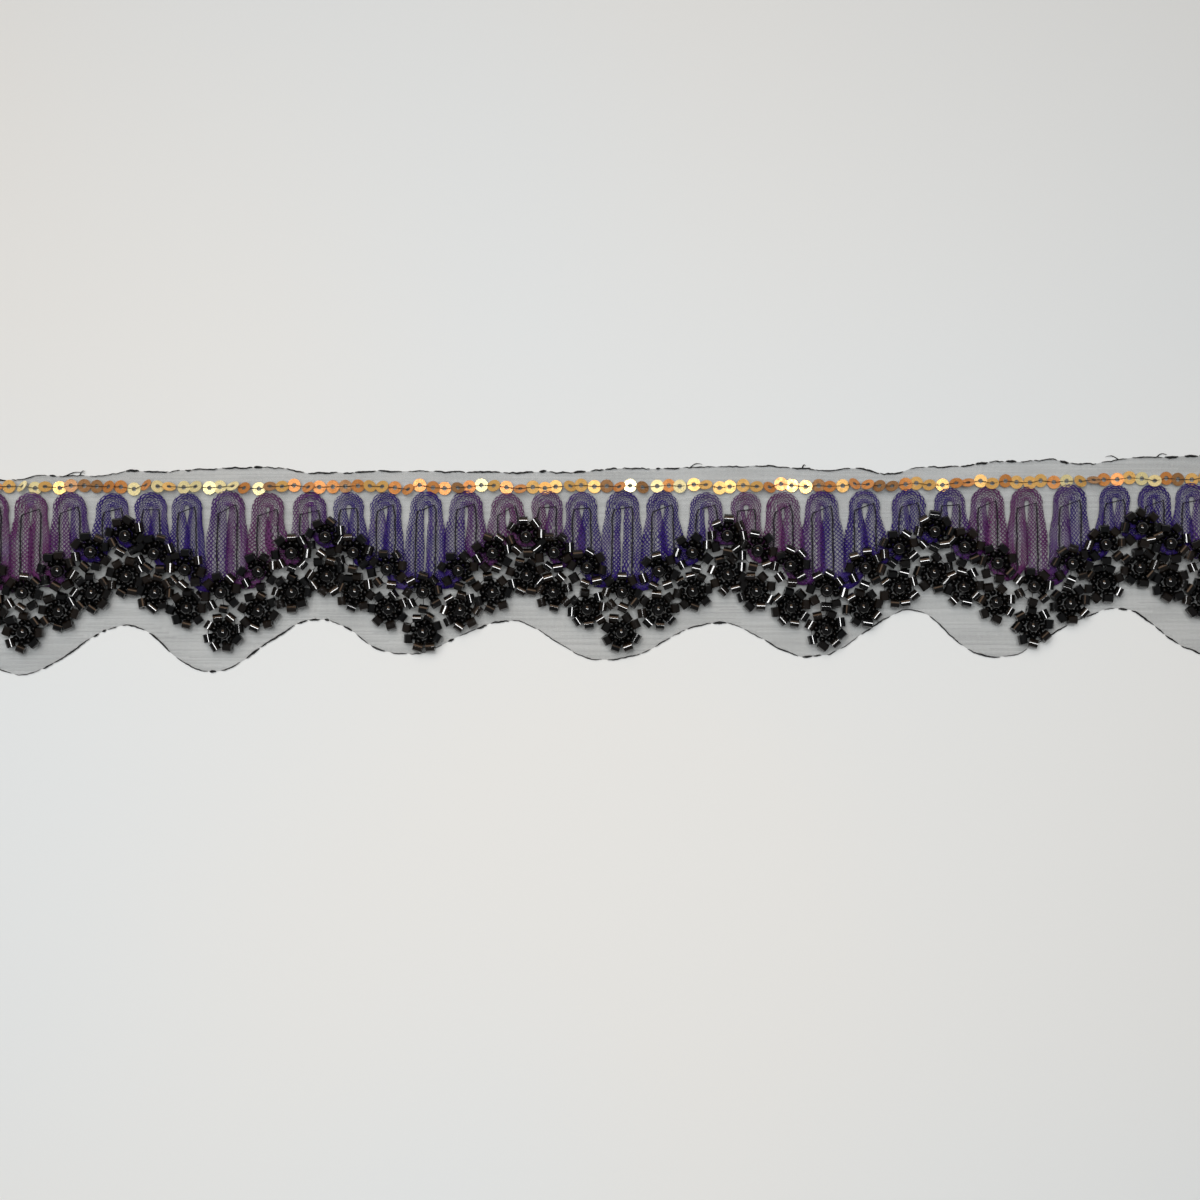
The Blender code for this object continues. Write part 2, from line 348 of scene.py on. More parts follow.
def tubeOnLines():
    # A thread along every line. Its radius follows the line's own "thick" and a fine unevenness.
    tree, given = startTree("tubeOnLines", [
        ("Sides", "Int", 5),
        ("Unevenness", "Float", 0.2),
        ("Lump Size", "Float", 1 * mm),
        ("Seed", "Float", 0.0),
        ("Material", "Material", None),
    ])
    line = addNode(tree, "GeometryNodeMeshToCurve")
    connect(tree, given["Geometry"], line.inputs["Mesh"])
    lumps = addNode(tree, "ShaderNodeTexNoise", noise_dimensions="4D")
    connect(tree, doMath(tree, "DIVIDE", 1.0, given["Lump Size"]), lumps.inputs["Scale"])
    connect(tree, given["Seed"], lumps.inputs["W"])
    swing = doMath(tree, "SUBTRACT", lumps.outputs["Fac"], 0.5)
    swing = doMath(tree, "MULTIPLY", doMath(tree, "MULTIPLY", swing, 2.0), given["Unevenness"])
    swing = doMath(tree, "ADD", swing, 1.0)
    radius = doMath(tree, "MULTIPLY", namedAttribute(tree, "thick"), swing)
    section = addNode(tree, "GeometryNodeCurvePrimitiveCircle")
    connect(tree, given["Sides"], section.inputs["Resolution"])
    section.inputs["Radius"].default_value = 1.0
    tube = addNode(tree, "GeometryNodeCurveToMesh")
    tube.inputs["Fill Caps"].default_value = True
    connect(tree, line.outputs["Curve"], tube.inputs["Curve"])
    connect(tree, radius, tube.inputs["Scale"])
    connect(tree, section.outputs["Curve"], tube.inputs["Profile Curve"])
    finishTree(tree, tube.outputs["Mesh"], given["Material"])
    return tree


ringTree = ringOnPoints()
ballTree = ballOnPoints()
tubeTree = tubeOnLines()


def pointsOfRows(rows):
    # one point for every sequin or bead
    numbers = {key: [row[key] for row in rows] for key in ("size", "tone")}
    turns = {"turn": [row["turn"] for row in rows]}
    return meshOfPoints("places", [row["at"] for row in rows], numbers=numbers, vectors=turns)


def spin(name, lines, thicks, unevenness, lumpSize, seed, material, sides=5):
    # a piece of thread along each of the lines
    points, edges = joinLines(lines)
    source = meshOfPoints(name + "Lines", points, edges, {"thick": thicks})
    return grow(name, source, tubeTree, {
        "Sides": sides,
        "Unevenness": unevenness,
        "Lump Size": lumpSize,
        "Seed": seed,
        "Material": material,
    })


# What the frame tells: the strip's two edges, the sequin line and the flower centres

edge = {
    "step": 1.0 * mm,
    "reach": 1.6 * mm,  # rounds the corners of the solid's outline
    "fineWaver": 0.34 * mm,  # how unevenly the edges were cut
    "fineSize": 2.7 * mm,
    "broadWaver": 0.5 * mm,
    "broadSize": 8 * mm,
}


def ripple(x, y, size, layer):
    # smooth noise over the plane, about -0.5 to 0.5, in patches of this length and width
    return noise.noise(Vector((x / size[0], y / size[1], layer)))


def edgeLine(node, upperSide):
    # one long edge of a flat node, as x and y that rise along the trim
    corners = {(round(v.co.x, 6), round(v.co.y, 6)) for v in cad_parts[node].data.vertices}
    corners = sorted(corners)
    middle = (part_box(node)[0].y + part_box(node)[1].y) / 2
    kept = [c for c in corners if (c[1] > middle) == upperSide]
    return np.array([c[0] for c in kept]), np.array([c[1] for c in kept])


def lineY(line, x):
    return float(np.interp(x, line[0], line[1]))


def smoothLine(line):
    # the same edge without its corners, and a little wavering
    step = edge["step"]
    xs = np.arange(line[0][0], line[0][-1] + step / 2, step)
    ys = np.interp(xs, line[0], line[1])
    width = int(edge["reach"] / step)
    padded = np.concatenate([[ys[0]] * width, ys, [ys[-1]] * width])
    kernel = np.ones(2 * width + 1) / (2 * width + 1)
    fine = [edge["fineWaver"] * ripple(x, ys[0], (edge["fineSize"], mm), 0.0) for x in xs]
    broad = [edge["broadWaver"] * ripple(x, ys[0], (edge["broadSize"], mm), 6.0) for x in xs]
    return xs, np.convolve(padded, kernel, "valid") + (np.array(fine) + np.array(broad))


def flowerCentres():
    # The highest corner of each flower is the top of its pearl.
    upper, lower = [], []
    for name in flowerNodes:
        corners = [v.co.copy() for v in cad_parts[name].data.vertices]
        top = max(corners, key=lambda c: c.z)
        below = max((c for c in corners if c.y < top.y - 6 * mm), key=lambda c: c.z)
        upper.append(Vector((top.x, top.y)))
        lower.append(Vector((below.x, below.y)))
    return upper, lower


flowerNodes = sorted(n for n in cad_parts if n.startswith("flower_pair"))
hemLine = smoothLine(edgeLine("sheer_cloth", False))
headingLine = smoothLine(edgeLine("sheer_cloth", True))
chainLow, chainHigh = edgeLine("sequin_chain", False), edgeLine("sequin_chain", True)
upperFlowers, lowerFlowers = flowerCentres()
stripEnds = (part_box("sheer_cloth")[0].x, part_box("sheer_cloth")[1].x)
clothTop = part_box("sheer_cloth")[1].z
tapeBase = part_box("mesh_ribbon")[0].z


def sequinY(x):
    # the sequin line runs along the middle of the chain, with its bend
    reach = 8 * mm
    xs = np.linspace(x - reach, x + reach, 9)
    low = np.interp(xs, *chainLow).mean()
    high = np.interp(xs, *chainHigh).mean()
    return (low + high) / 2


print("read", len(upperFlowers), "columns of flowers from the frame")


# The sheer strip

strip = {
    "columnStep": 1.0 * mm,
    "rows": 30,
    "thickness": 0.12 * mm,
    "restHeight": 0.25 * mm,  # of the free edges above the table
    "liftedHeight": 0.82 * mm,  # under the beads, where knots hold it up
    "edgeReach": 5.0 * mm,  # how far in from an edge the strip has risen
    "wave": 0.10 * mm,
    "waveSize": (9 * mm, 6 * mm),
    "threadPitch": 0.30 * mm,
    "streakPitch": 0.36 * mm,
    "streakLength": 17.0 * mm,
    "streakShift": 0.37,  # each row of streaks starts this share of a length further on
    "streakCover": (0.86, 1.16),
    "drift": 0.5,  # how far the weave strays from straight, in threads
    "mist": 0.16,  # how unevenly the strip hides what is below
    "colour": (0.150, 0.160, 0.160),
    "cover": (0.085, 0.215),  # how much one face of the weave hides, least and most
}


def clothHeight(x, y):
    inward = min(y - lineY(hemLine, x), lineY(headingLine, x) - y) / strip["edgeReach"]
    rise = 0.5 - 0.5 * math.cos(math.pi * min(1.0, max(0.0, inward)))
    wave = ripple(x, y, strip["waveSize"], 0.0)
    height = strip["restHeight"] + rise * (strip["liftedHeight"] - strip["restHeight"])
    return height + wave * strip["wave"]


def organzaMaterial():
    # fine crossing threads, the lengthwise ones uneven so that they show as faint streaks
    material, tree, shader = startMaterial("sheerOrganza", roughness=0.62, specular=0.35)
    axes = placeAxes(tree)
    drift = attributeOf(tree, "drift")
    threads = []
    for axis in ("X", "Y"):
        cells = doMath(tree, "MULTIPLY", axes[axis], 1 / strip["threadPitch"])
        cells = doMath(tree, "ADD", cells, drift)
        wave = doMath(tree, "SINE", doMath(tree, "MULTIPLY", cells, 2 * math.pi))
        threads.append(spread(tree, wave, -0.4, 1.0))
    weave = doMath(tree, "MAXIMUM", threads[0], threads[1])
    row = doMath(tree, "MULTIPLY", axes["Y"], 1 / strip["streakPitch"])
    row = doMath(tree, "FLOOR", row)
    shift = doMath(tree, "MULTIPLY", row, strip["streakShift"])
    part = doMath(tree, "MULTIPLY", axes["X"], 1 / strip["streakLength"])
    part = doMath(tree, "FLOOR", doMath(tree, "ADD", part, shift))
    cell = addNode(tree, "ShaderNodeCombineXYZ")
    connect(tree, row, cell.inputs["X"])
    connect(tree, part, cell.inputs["Y"])
    chance = addNode(tree, "ShaderNodeTexWhiteNoise", noise_dimensions="2D")
    tree.links.new(cell.outputs["Vector"], chance.inputs["Vector"])
    cover = spread(tree, weave, 0.0, 1.0, *strip["cover"])
    streak = spread(tree, chance.outputs["Value"], 0.0, 1.0, *strip["streakCover"])
    cover = doMath(tree, "MULTIPLY", cover, streak)
    cover = doMath(tree, "MULTIPLY", cover, attributeOf(tree, "mist"))
    tree.links.new(cover, shader.inputs["Alpha"])
    shader.inputs["Base Color"].default_value = (*strip["colour"], 1)
    return material


def buildStrip():
    count = round((stripEnds[1] - stripEnds[0]) / strip["columnStep"])
    xs = np.linspace(stripEnds[0], stripEnds[1], count + 1)
    points, faces = [], []
    for x in xs:
        low, high = lineY(hemLine, x), lineY(headingLine, x)
        for row in range(strip["rows"] + 1):
            y = low + (high - low) * row / strip["rows"]
            points.append((x, y, clothHeight(x, y)))
    across = strip["rows"] + 1
    for i in range(count):
        for row in range(strip["rows"]):
            first = i * across + row
            faces.append((first, first + across, first + across + 1, first + 1))
    mesh = bpy.data.meshes.new("sheerStrip")
    mesh.from_pydata(points, [], faces)
    mesh.polygons.foreach_set("use_smooth", [True] * len(mesh.polygons))
    drift = [strip["drift"] * ripple(p[0], p[1], (16 * mm, 5 * mm), 3.0) for p in points]
    mist = [1 + strip["mist"] * ripple(p[0], p[1], (14 * mm, 9 * mm), 5.0) for p in points]
    mesh.attributes.new("drift", "FLOAT", "POINT").data.foreach_set("value", drift)
    mesh.attributes.new("mist", "FLOAT", "POINT").data.foreach_set("value", mist)
    mesh.materials.append(organzaMaterial())
    piece = linkPiece("sheerStrip", mesh)
    wall = piece.modifiers.new("thickness", "SOLIDIFY")
    wall.thickness = strip["thickness"]
    wall.offset = -1
    return piece


sheerStrip = buildStrip()
print("sheer strip made")


# Black thread, for the edges, the gathers, the sequins and the beads

def threadMaterial(name, colour, roughness):
    material, tree, shader = startMaterial(name, roughness, specular=0.3)
    fuzz = noiseAt(tree, objectPlace(tree), 2500.0, 2.0)
    lighter = tuple(3 * c + 0.006 for c in colour)
    tree.links.new(mixColour(tree, fuzz, colour, lighter), shader.inputs["Base Color"])
    addBump(tree, shader, fuzz, 0.6, 0.04 * mm)
    return material


blackThread = threadMaterial("blackThread", (0.004, 0.004, 0.005), 0.6)

fray = {
    "seed": 11,
    "step": 0.45 * mm,
    "runLength": (2.0 * mm, 9.0 * mm),
    "gapLength": (0.1 * mm, 1.6 * mm),
    "radius": (0.10 * mm, 0.23 * mm),
    "clotRadius": 0.33 * mm,
    "clotShare": 0.26,
    "clotLength": 0.4,  # of a run
    "wander": 0.2 * mm,
    "leastHeight": 0.48 * mm,  # keeps the clots off the table
    "looseCurl": 0.5 * mm,
    "looseRise": 0.5 * mm,
    "looseEnds": [  # where a loose thread leaves the heading, its lean and its length in mm
        (-132.0, 3.6, 1.1, 5.2), (-128.5, 1.2, 1.6, 2.4), (24.0, 2.6, 1.3, 3.4),
        (52.0, 0.9, 1.4, 1.5), (131.0, -3.0, 1.2, 3.6), (140.5, 2.4, 1.2, 2.8),
    ],
}


def frayLines():
    chance = random.Random(fray["seed"])
    lines, thicks = [], []
    for line, outward in ((hemLine, -1), (headingLine, 1)):
        x = stripEnds[0]
        while x < stripEnds[1] - fray["step"]:
            run = chance.uniform(*fray["runLength"])
            clot = chance.random() < fray["clotShare"]
            run = run * fray["clotLength"] if clot else run
            radius = fray["clotRadius"] if clot else chance.uniform(*fray["radius"])
            end = min(x + run, stripEnds[1])
            points = []
            for px in np.linspace(x, end, max(3, round((end - x) / fray["step"]))):
                wander = ripple(px, outward * 7.0, (0.9 * mm, 1.0), 1.0)
                y = lineY(line, px) + wander * fray["wander"]
                height = clothHeight(px, lineY(line, px)) + 0.3 * radius
                points.append((px, y, max(height, fray["leastHeight"])))
            shares = np.linspace(0, 1, len(points))
            lines.append(points)
            thicks += [radius * (0.35 + 0.65 * math.sin(math.pi * s) ** 0.5) for s in shares]
            x = end + chance.uniform(*fray["gapLength"])
    for x, leanX, leanY, length in fray["looseEnds"]:
        x, y = x * mm, lineY(headingLine, x * mm)
        points = []
        for share in np.linspace(0, 1, 9):
            curl = fray["looseCurl"] * math.sin(3.5 * share)
            out = share * length * mm
            lean = Vector((leanX, leanY)).normalized()
            height = clothHeight(x, y) + fray["looseRise"] * share
            points.append((x + lean.x * out, y + lean.y * out * 0.6 + curl, height))
        lines.append(points)
        thicks += [fray["radius"][0] * (1.5 - share) for share in np.linspace(0, 1, 9)]
    return lines, thicks


fusedEdge = threadMaterial("fusedEdge", (0.003, 0.003, 0.003), 0.45)
frayedEdge = spin("frayedEdge", *frayLines(), 0.9, 0.7 * mm, 3.0, fusedEdge)


# The gathered net tape

tape = {
    "repeatStarts": [-191.3, -141.8, -92.3, -42.4, 7.0, 57.9, 109.3, 160.6],  # mm
    "loops": [0.005, 0.21, 0.424, 0.618, 0.80],  # shares of a repeat
    "drift": -0.01,  # and how they slip from one repeat to the next
    "halfWidth": 2.3 * mm,
    "puff": 0.62 * mm,  # half the height of each soft side
    "archRadius": 2.25 * mm,
    "archWidth": (0.70, 0.88),  # share of the full width over an arch
    "legWidth": (1.04, 1.38),  # and at the foot of a leg
    "openLength": 8.5 * mm,  # the tape widens again over this length below an arch
    "endGap": 4.2 * mm,  # between the last loop's middle and the strip's end
    "underSequins": 1.25 * mm,
    "topShift": (-0.2, 0.4),  # mm, drawn for each loop
    "pinch": (-0.25, 0.55),
    "lean": (-0.9, 0.9),
    "leanLength": 20 * mm,
    "leanShare": 0.6,
    "widthWaver": 0.07,
    "archCrowd": 0.12,
    "footWidth": 0.95,
    "footCrowd": 0.8,
    "sink": 0.25 * mm,  # its underside lies this far below the solid's
    "belowFlowers": 2.6 * mm,
    "step": 0.9 * mm,
    "cutWidth": 10 * mm,  # before it is gathered
    "foldUnder": 1.6,  # 1 ends each side at its edge, 2 brings it back to the middle
    "sectionPoints": 27,
    "netAlong": 1.08 * mm,
    "netAcross": 0.86 * mm,
    "netThread": (0.108, 0.27),  # half a thread as a share of a hole, loose and crowded
    "creaseLength": 7.0 * mm,
    "creaseWidth": 0.75 * mm,
    "blueViolet": (0.018, 0.006, 0.105),
    "plum": (0.078, 0.016, 0.074),
    "pale": (0.11, 0.075, 0.18),
    "plumPeriod": 61.5 * mm,
    "plumAt": -142.0 * mm,
    "seed": 5,
}


def loopCentres():
    starts = tape["repeatStarts"]
    middle = len(starts) // 2 - 1
    centres = []
    for i, (start, end) in enumerate(zip(starts, starts[1:])):
        slip = tape["drift"] * (i - middle)
        centres += [(start + (share + slip) * (end - start)) * mm for share in tape["loops"]]
    return centres


def zigzagY(x):
    # the height of the upper flowers at x
    return float(np.interp(x, [f.x for f in upperFlowers], [f.y for f in upperFlowers]))


def tapeLoops():
    # Each loop's middle, half spacing, arch height and the feet of its two legs
    chance = random.Random(tape["seed"])
    xs = loopCentres()
    xs.append(2 * xs[-1] - xs[-2])
    loops = []
    for left, x, right in zip(xs, xs[1:], xs[2:]):
        if abs(x) + tape["endGap"] > stripEnds[1]:
            continue
        archWidth = chance.uniform(*tape["archWidth"])
        arch = tape["archRadius"] + archWidth * tape["halfWidth"]
        top = sequinY(x) - tape["underSequins"] - arch
        loops.append({
            "x": x,
            "half": (right - left) / 8,
            "top": top + chance.uniform(*tape["topShift"]) * mm,
            "pinch": chance.uniform(*tape["pinch"]) * mm,
            "lean": chance.uniform(*tape["lean"]) * mm,
            "archWidth": archWidth,
            "legWidth": chance.uniform(*tape["legWidth"]),
        })
    return loops


def leanAt(loop, rise):
    # how far a loop has leaned sideways at this height above its foot
    return loop["lean"] * rise / tape["leanLength"] * tape["leanShare"]


def legRows(loop, side, leg, foot, archStart):
    # one leg from its foot up to the arch, drawn in as it rises
    rows = []
    for y in np.arange(foot, archStart, tape["step"]):
        down = min(1.0, max(0.0, (archStart - y) / tape["openLength"]))
        eased = 0.5 - 0.5 * math.cos(math.pi * down)
        bow = math.sin(math.pi * (y - foot) / max(archStart - foot, 1e-6))
        inward = (tape["archRadius"] - loop["half"]) * (1 - eased)
        x = leg + side * (inward - loop["pinch"] * bow) + leanAt(loop, y - foot)
        width = loop["archWidth"] + (loop["legWidth"] - loop["archWidth"]) * eased
        width *= 1 + tape["widthWaver"] * ripple(x, y, (4 * mm, 5 * mm), 2.0)
        rows.append((x, y, width, 0.0))
    return rows


def tapePath(loops):
    # The tape's middle line as rows of x, y, share of the full width, and how crowded its net is
    path = []
    radius = tape["archRadius"]
    for i, loop in enumerate(loops):
        for side in (-1, 1):
            leg = loop["x"] + side * loop["half"]
            following = loops[i + side] if 0 <= i + side < len(loops) else None
            other = following["x"] - side * following["half"] if following else leg
            turn = abs(other - leg) / 2
            foot = zigzagY((leg + other) / 2) - tape["belowFlowers"] + turn + tape["halfWidth"]
            archStart = loop["top"] - radius * 0.2
            rows = legRows(loop, side, leg, foot, archStart)
            if side < 0:
                path += rows
                middle = loop["x"] + leanAt(loop, archStart - foot)
                for angle in np.linspace(math.pi, 0, 13):
                    x = middle + radius * math.cos(angle)
                    y = loop["top"] + radius * math.sin(angle)
                    path.append((x, y, loop["archWidth"], tape["archCrowd"] * math.sin(angle)))
                continue
            path += rows[::-1]
            if following:
                for angle in np.linspace(math.pi, 2 * math.pi, 9)[1:-1]:
                    x = (leg + other) / 2 + turn * math.cos(angle)
                    y = foot + turn * math.sin(angle)
                    path.append((x, y, tape["footWidth"], tape["footCrowd"]))
    return path


def tapeTree():
    # A puffed tape along a line, with one side on each side of the gathering thread
    tree, given = startTree("foldedTape", [
        ("Half Width", "Float", 2 * mm),
        ("Puff", "Float", 0.5 * mm),
        ("Section Points", "Int", 25),
        ("Ripple", "Float", 0.1 * mm),
        ("Ripple Size", "Float", 2 * mm),
        ("Material", "Material", None),
    ])
    line = addNode(tree, "GeometryNodeMeshToCurve")
    connect(tree, given["Geometry"], line.inputs["Mesh"])
    upright = addNode(tree, "GeometryNodeSetCurveNormal", mode="Z_UP")
    connect(tree, line.outputs["Curve"], upright.inputs["Curve"])
    spline = addNode(tree, "GeometryNodeSplineParameter")
    path = storeNumber(tree, upright.outputs["Curve"], "along", spline.outputs["Length"])

    # each side of the section puffs up from the gathered middle and turns under at its edge
    straight = addNode(tree, "GeometryNodeCurvePrimitiveLine")
    points = addNode(tree, "GeometryNodeResampleCurve")
    connect(tree, straight.outputs["Curve"], points.inputs["Curve"])
    connect(tree, given["Section Points"], points.inputs["Count"])
    share = addNode(tree, "GeometryNodeSplineParameter").outputs["Factor"]
    swing = doMath(tree, "SUBTRACT", doMath(tree, "MULTIPLY", share, 2.0), 1.0)
    side = doMath(tree, "SIGN", swing)
    angle = doMath(tree, "MULTIPLY", doMath(tree, "ABSOLUTE", swing), tape["foldUnder"] * math.pi)
    out = doMath(tree, "SUBTRACT", 1.0, doMath(tree, "COSINE", angle))
    out = doMath(tree, "MULTIPLY", doMath(tree, "MULTIPLY", out, 0.5), given["Half Width"])
    up = doMath(tree, "MULTIPLY", doMath(tree, "SINE", angle), given["Puff"])
    corner = addNode(tree, "ShaderNodeCombineXYZ")
    connect(tree, doMath(tree, "MULTIPLY", out, side), corner.inputs["X"])
    connect(tree, up, corner.inputs["Y"])
    section = addNode(tree, "GeometryNodeSetPosition")
    connect(tree, points.outputs["Curve"], section.inputs["Geometry"])
    connect(tree, corner.outputs["Vector"], section.inputs["Position"])
    reach = addNode(tree, "GeometryNodeSplineParameter").outputs["Length"]
    profile = storeNumber(tree, section.outputs["Geometry"], "across", reach)

    sweep = addNode(tree, "GeometryNodeCurveToMesh")
    connect(tree, path, sweep.inputs["Curve"])
    connect(tree, profile, sweep.inputs["Profile Curve"])
    connect(tree, namedAttribute(tree, "width"), sweep.inputs["Scale"])
    ripples = addNode(tree, "ShaderNodeTexNoise")
    connect(tree, doMath(tree, "DIVIDE", 1.0, given["Ripple Size"]), ripples.inputs["Scale"])
    ripples.inputs["Detail"].default_value = 1.0
    swing = doMath(tree, "SUBTRACT", ripples.outputs["Fac"], 0.5)
    swing = doMath(tree, "MULTIPLY", swing, given["Ripple"])
    offset = addNode(tree, "ShaderNodeVectorMath", operation="SCALE")
    connect(tree, addNode(tree, "GeometryNodeInputNormal").outputs["Normal"], offset.inputs[0])
    connect(tree, swing, offset.inputs["Scale"])
    rippled = addNode(tree, "GeometryNodeSetPosition")
    connect(tree, sweep.outputs["Mesh"], rippled.inputs["Geometry"])
    connect(tree, offset.outputs["Vector"], rippled.inputs["Offset"])
    finishTree(tree, rippled.outputs["Geometry"], given["Material"])
    return tree


def netMaterial():
    # crossing threads along the tape's own length and width, with open holes between
    material, tree, shader = startMaterial("netTape", roughness=0.55, specular=0.3)
    along, across = attributeOf(tree, "along"), attributeOf(tree, "across")
    onTape = addNode(tree, "ShaderNodeCombineXYZ")
    connect(tree, doMath(tree, "MULTIPLY", along, 1 / tape["creaseLength"]), onTape.inputs["X"])
    connect(tree, doMath(tree, "MULTIPLY", across, 1 / tape["creaseWidth"]), onTape.inputs["Y"])
    crease = spread(tree, noiseAt(tree, onTape.outputs["Vector"], 1.0, 1.0), 0.52, 0.72, 0.0, 0.9)
    crowd = doMath(tree, "ADD", attributeOf(tree, "crowd"), crease)
    rows = doMath(tree, "MULTIPLY", along, 1 / tape["netAlong"])
    rows = doMath(tree, "ADD", rows, attributeOf(tree, "sway"))
    columns = doMath(tree, "MULTIPLY", across, 1 / tape["netAcross"])
    threads = []
    for operation in ("ADD", "SUBTRACT"):
        place = doMath(tree, operation, rows, columns)
        threads.append(doMath(tree, "PINGPONG", place, 0.5))
    nearest = doMath(tree, "MINIMUM", threads[0], threads[1])
    half = spread(tree, crowd, 0.0, 1.0, *tape["netThread"])
    gap = doMath(tree, "SUBTRACT", nearest, half)
    cover = spread(tree, gap, -0.02, 0.03, 1.0, 0.0)
    tree.links.new(cover, shader.inputs["Alpha"])
    dye = mixColour(tree, attributeOf(tree, "plum"), tape["blueViolet"], tape["plum"])
    dye = mixColour(tree, attributeOf(tree, "fade"), dye, tape["pale"])
    tree.links.new(dye, shader.inputs["Base Color"])
    return material


def buildTape(loops):
    path = tapePath(loops)
    points = [(row[0], row[1], tapeMiddle) for row in path]
    phase = [(row[0] - tape["plumAt"]) / tape["plumPeriod"] for row in path]
    plum = [min(1.0, max(0.0, 0.15 + 0.95 * math.cos(2 * math.pi * p))) for p in phase]
    steps = range(len(path))
    fade = [0.75 * noise.noise(Vector((i * 0.13, 9.0, 0.0))) for i in steps]
    source = meshOfPoints("tapeLine", points, joinLines([points])[1], {
        "width": [row[2] for row in path],
        "crowd": [row[3] for row in path],
        "plum": plum,
        "sway": [1.2 * noise.noise(Vector((i * 0.21, 4.0, 0.0))) for i in steps],
        "fade": [max(0.0, share) for share in fade],
    })
    piece = grow("netTape", source, tapeTree(), {
        "Half Width": tape["halfWidth"],
        "Puff": tape["puff"],
        "Section Points": tape["sectionPoints"],
        "Ripple": 0.5 * mm,
        "Ripple Size": 1.6 * mm,
        "Material": netMaterial(),
    })
    length = sum(math.dist(a, b) for a, b in zip(points, points[1:]))
    return piece, length


tapeMiddle = tapeBase + tape["puff"] - tape["sink"]
loops = tapeLoops()
netTape, tapeLength = buildTape(loops)
print(f"net tape: {tapeLength:.2f} m long in {len(loops)} loops")


# The gathering thread: up one leg, across under the arch, and down the other

gather = {
    "radius": 0.19 * mm,
    "stitch": 1.4 * mm,
    "dip": 0.16 * mm,  # of every second stitch
    "wander": 0.12,  # mm, to either side
    "leanShare": 0.5,
    "belowFlowers": 1.0 * mm,
    "belowArch": 0.6 * mm,
    "legTop": {-1: 0.3 * mm, 1: 1.5 * mm},  # the cross stitch rises to the right
    "lift": 0.36 * mm,  # above the middle of the tape
    "curl": 3.2 * mm,  # the thread leans in to the stitch over this length
    "pull": 0.24,  # and by this share of the way to the loop's middle
    "seed": 21,
}


def buildGathers():
    chance = random.Random(gather["seed"])
    height = tapeMiddle + gather["lift"]
    wander = gather["wander"]
    points = []
    for loop in loops:
        lean = loop["lean"] * gather["leanShare"]
        for side in (-1, 1):
            leg = loop["x"] + side * loop["half"]
            foot = zigzagY(leg) - gather["belowFlowers"]
            end = loop["top"] - gather["belowArch"] + gather["legTop"][side]
            rows = np.arange(foot, end, gather["stitch"])
            rows = rows if side < 0 else rows[::-1]
            for k, y in enumerate(rows):
                dip = gather["dip"] if k % 2 else 0.0
                x = leg + lean * (y - foot) / tape["leanLength"]
                x += chance.uniform(-wander, wander) * mm
                nearTop = max(0.0, 1 - (end - y) / gather["curl"])
                x += (loop["x"] - x) * gather["pull"] * nearTop ** 2
                points.append((x, y, height - dip))
    thicks = [gather["radius"]] * len(points)
    return spin("gatherThread", [points], thicks, 0.25, 0.5 * mm, 0.0, blackThread)


gatherThread = buildGathers()


# The sequins and their thread

sequin = {
    "radius": 1.66 * mm,
    "hole": 0.58 * mm,
    "thickness": 0.13 * mm,
    "pitch": 3.1 * mm,
    "wobble": 0.55 * mm,
    "slide": 0.34 * mm,
    "tiltedShare": 0.30,
    "tiltedLean": (0.5, 0.95),
    "flatLean": (0.0, 0.22),
    "above": 0.25 * mm,  # the strip
    "mostLift": 1.2 * mm,
    "overlap": 0.1 * mm,  # every second one lies this much higher
    "toneChange": 0.62,  # how often the tone changes from one sequin to the next
    "sides": 18,
    "seed": 31,
    "metalAndGlintTones": [  # how often, and the colour: the metal's own copper and gold, and a pale gold that is a painted reflection for sequins catching the light
        (0.42, (0.70, 0.28, 0.075)),
        (0.24, (0.86, 0.50, 0.15)),
        # painted reflection: this pale gold stands in for the light that tilted sequins catch
        (0.22, (1.00, 0.86, 0.44)),
        (0.12, (0.40, 0.20, 0.08)),
    ],
    "threadRadius": 0.09 * mm,
}


def layOutSequins():
    chance = random.Random(sequin["seed"])
    length = stripEnds[1] - stripEnds[0] - 2 * sequin["radius"]
    count = int(length / sequin["pitch"]) + 1
    first = -(count - 1) * sequin["pitch"] / 2
    rows = []
    tone = 0
    for i in range(count):
        x = first + i * sequin["pitch"] + chance.uniform(-1, 1) * sequin["slide"]
        y = sequinY(x) + chance.gauss(0, 0.5) * sequin["wobble"]
        tilted = chance.random() < sequin["tiltedShare"]
        lean = chance.uniform(*sequin["tiltedLean" if tilted else "flatLean"])
        around = chance.uniform(0.7, 2.4) if tilted else chance.uniform(0, 2 * math.pi)
        if chance.random() < sequin["toneChange"]:
            tone = chance.choices(range(4), [row[0] for row in sequin["metalAndGlintTones"]])[0]
        sideways = math.sin(lean)
        tilt = Vector((sideways * math.cos(around), sideways * math.sin(around), math.cos(lean)))
        turn = tilt.to_track_quat("Z", "Y").to_euler()
        lift = sequin["radius"] * math.sin(lean) * (0.75 if tilted else 0.9)
        z = clothTop + sequin["above"] + min(lift, sequin["mostLift"]) + (i % 2) * sequin["overlap"]
        rows.append({"at": (x, y, z), "turn": tuple(turn), "size": 1.0, "tone": tone + 0.5})
    return rows


def sequinMaterial():
    material, tree, shader = startMaterial("goldSequin", roughness=0.3, metallic=0.5, specular=0.7)
    tone = attributeOf(tree, "tone")
    # each sequin gets one colour by its tone; the pale gold one is a painted reflection
    colour = sequin["metalAndGlintTones"][0][1]
    for i, row in enumerate(sequin["metalAndGlintTones"][1:]):
        step = doMath(tree, "GREATER_THAN", tone, i + 1.0)
        colour = mixColour(tree, step, colour, row[1])
    scuffs = noiseAt(tree, objectPlace(tree), 900.0, 3.0)
    dull = mixColour(tree, spread(tree, scuffs, 0.45, 0.8, 0.0, 0.35), colour, (0.42, 0.24, 0.10))
    tree.links.new(dull, shader.inputs["Base Color"])
    tree.links.new(spread(tree, scuffs, 0.3, 0.7, 0.20, 0.36), shader.inputs["Roughness"])
    return material


